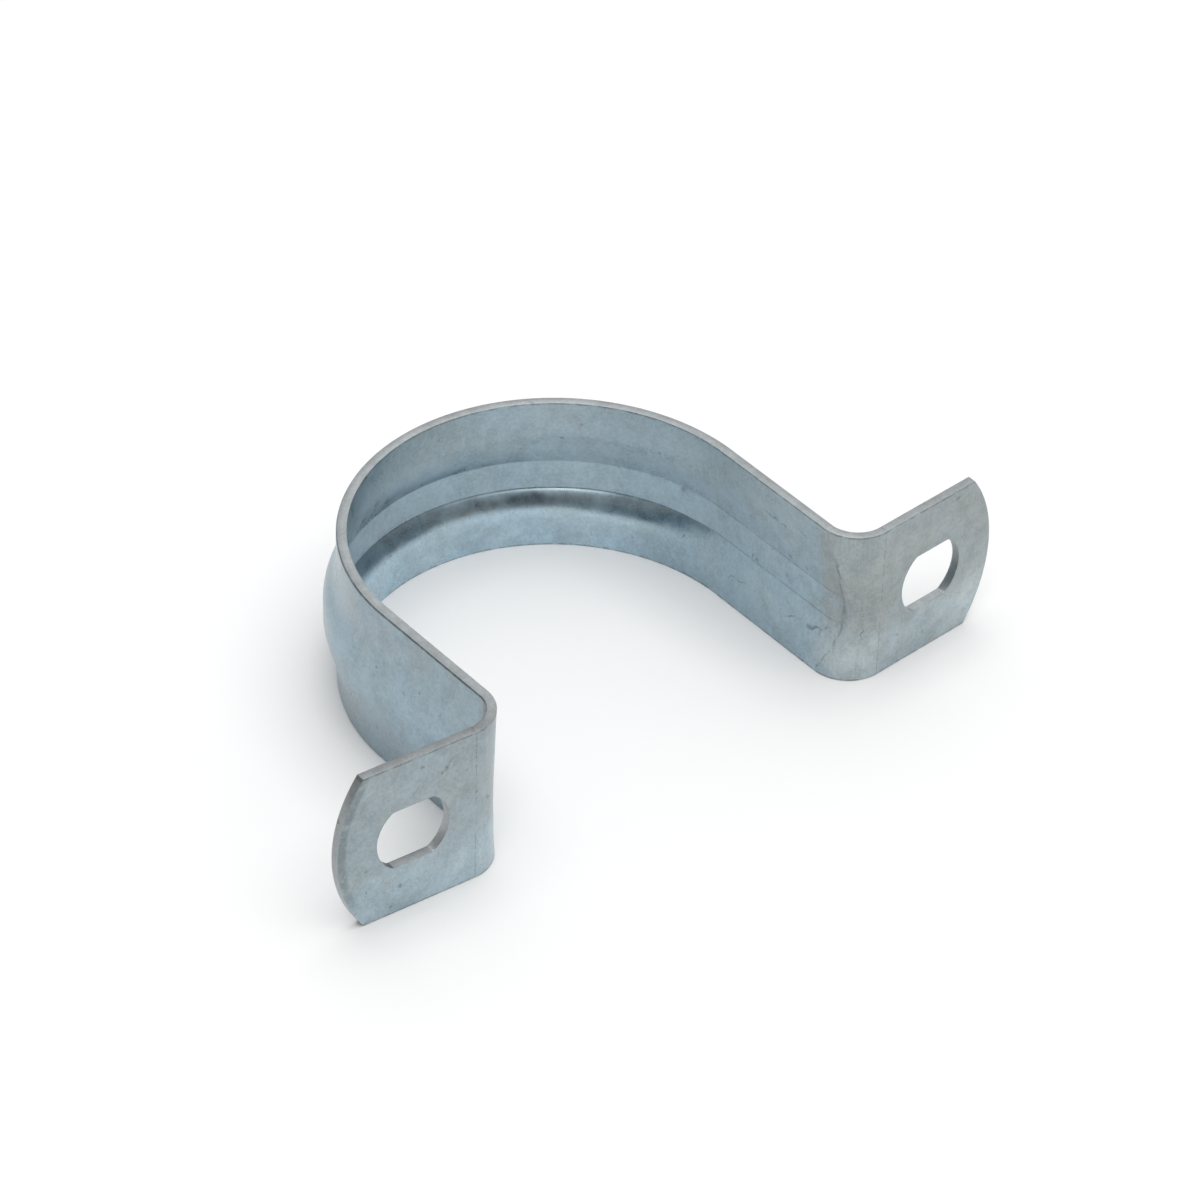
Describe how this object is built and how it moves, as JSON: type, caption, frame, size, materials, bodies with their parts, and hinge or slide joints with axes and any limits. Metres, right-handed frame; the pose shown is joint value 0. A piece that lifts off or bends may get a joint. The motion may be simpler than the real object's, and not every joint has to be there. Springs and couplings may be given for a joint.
{
  "type": "conduit strap",
  "caption": "Two-hole conduit strap: a half-round arch of ribbed sheet steel with straight legs and two slotted ears that screw to a wall.",
  "frame": {"origin": "On the axis of the conduit that the arch holds, level with the strip's lower edge.", "axes": "+Z runs along the conduit, +X along the two ears, and -Y points from the conduit to the wall that the ears screw to. The strap keeps this frame standing on its lower edge, as it was pictured."},
  "size_m": [0.0864, 0.0455, 0.0192],
  "materials": {
    "zinc_plated_steel": "satin bluish zinc plating over pressed sheet steel"
  },
  "bodies": {
    "root": {"strap": "zinc_plated_steel"}
  },
  "joints": []
}
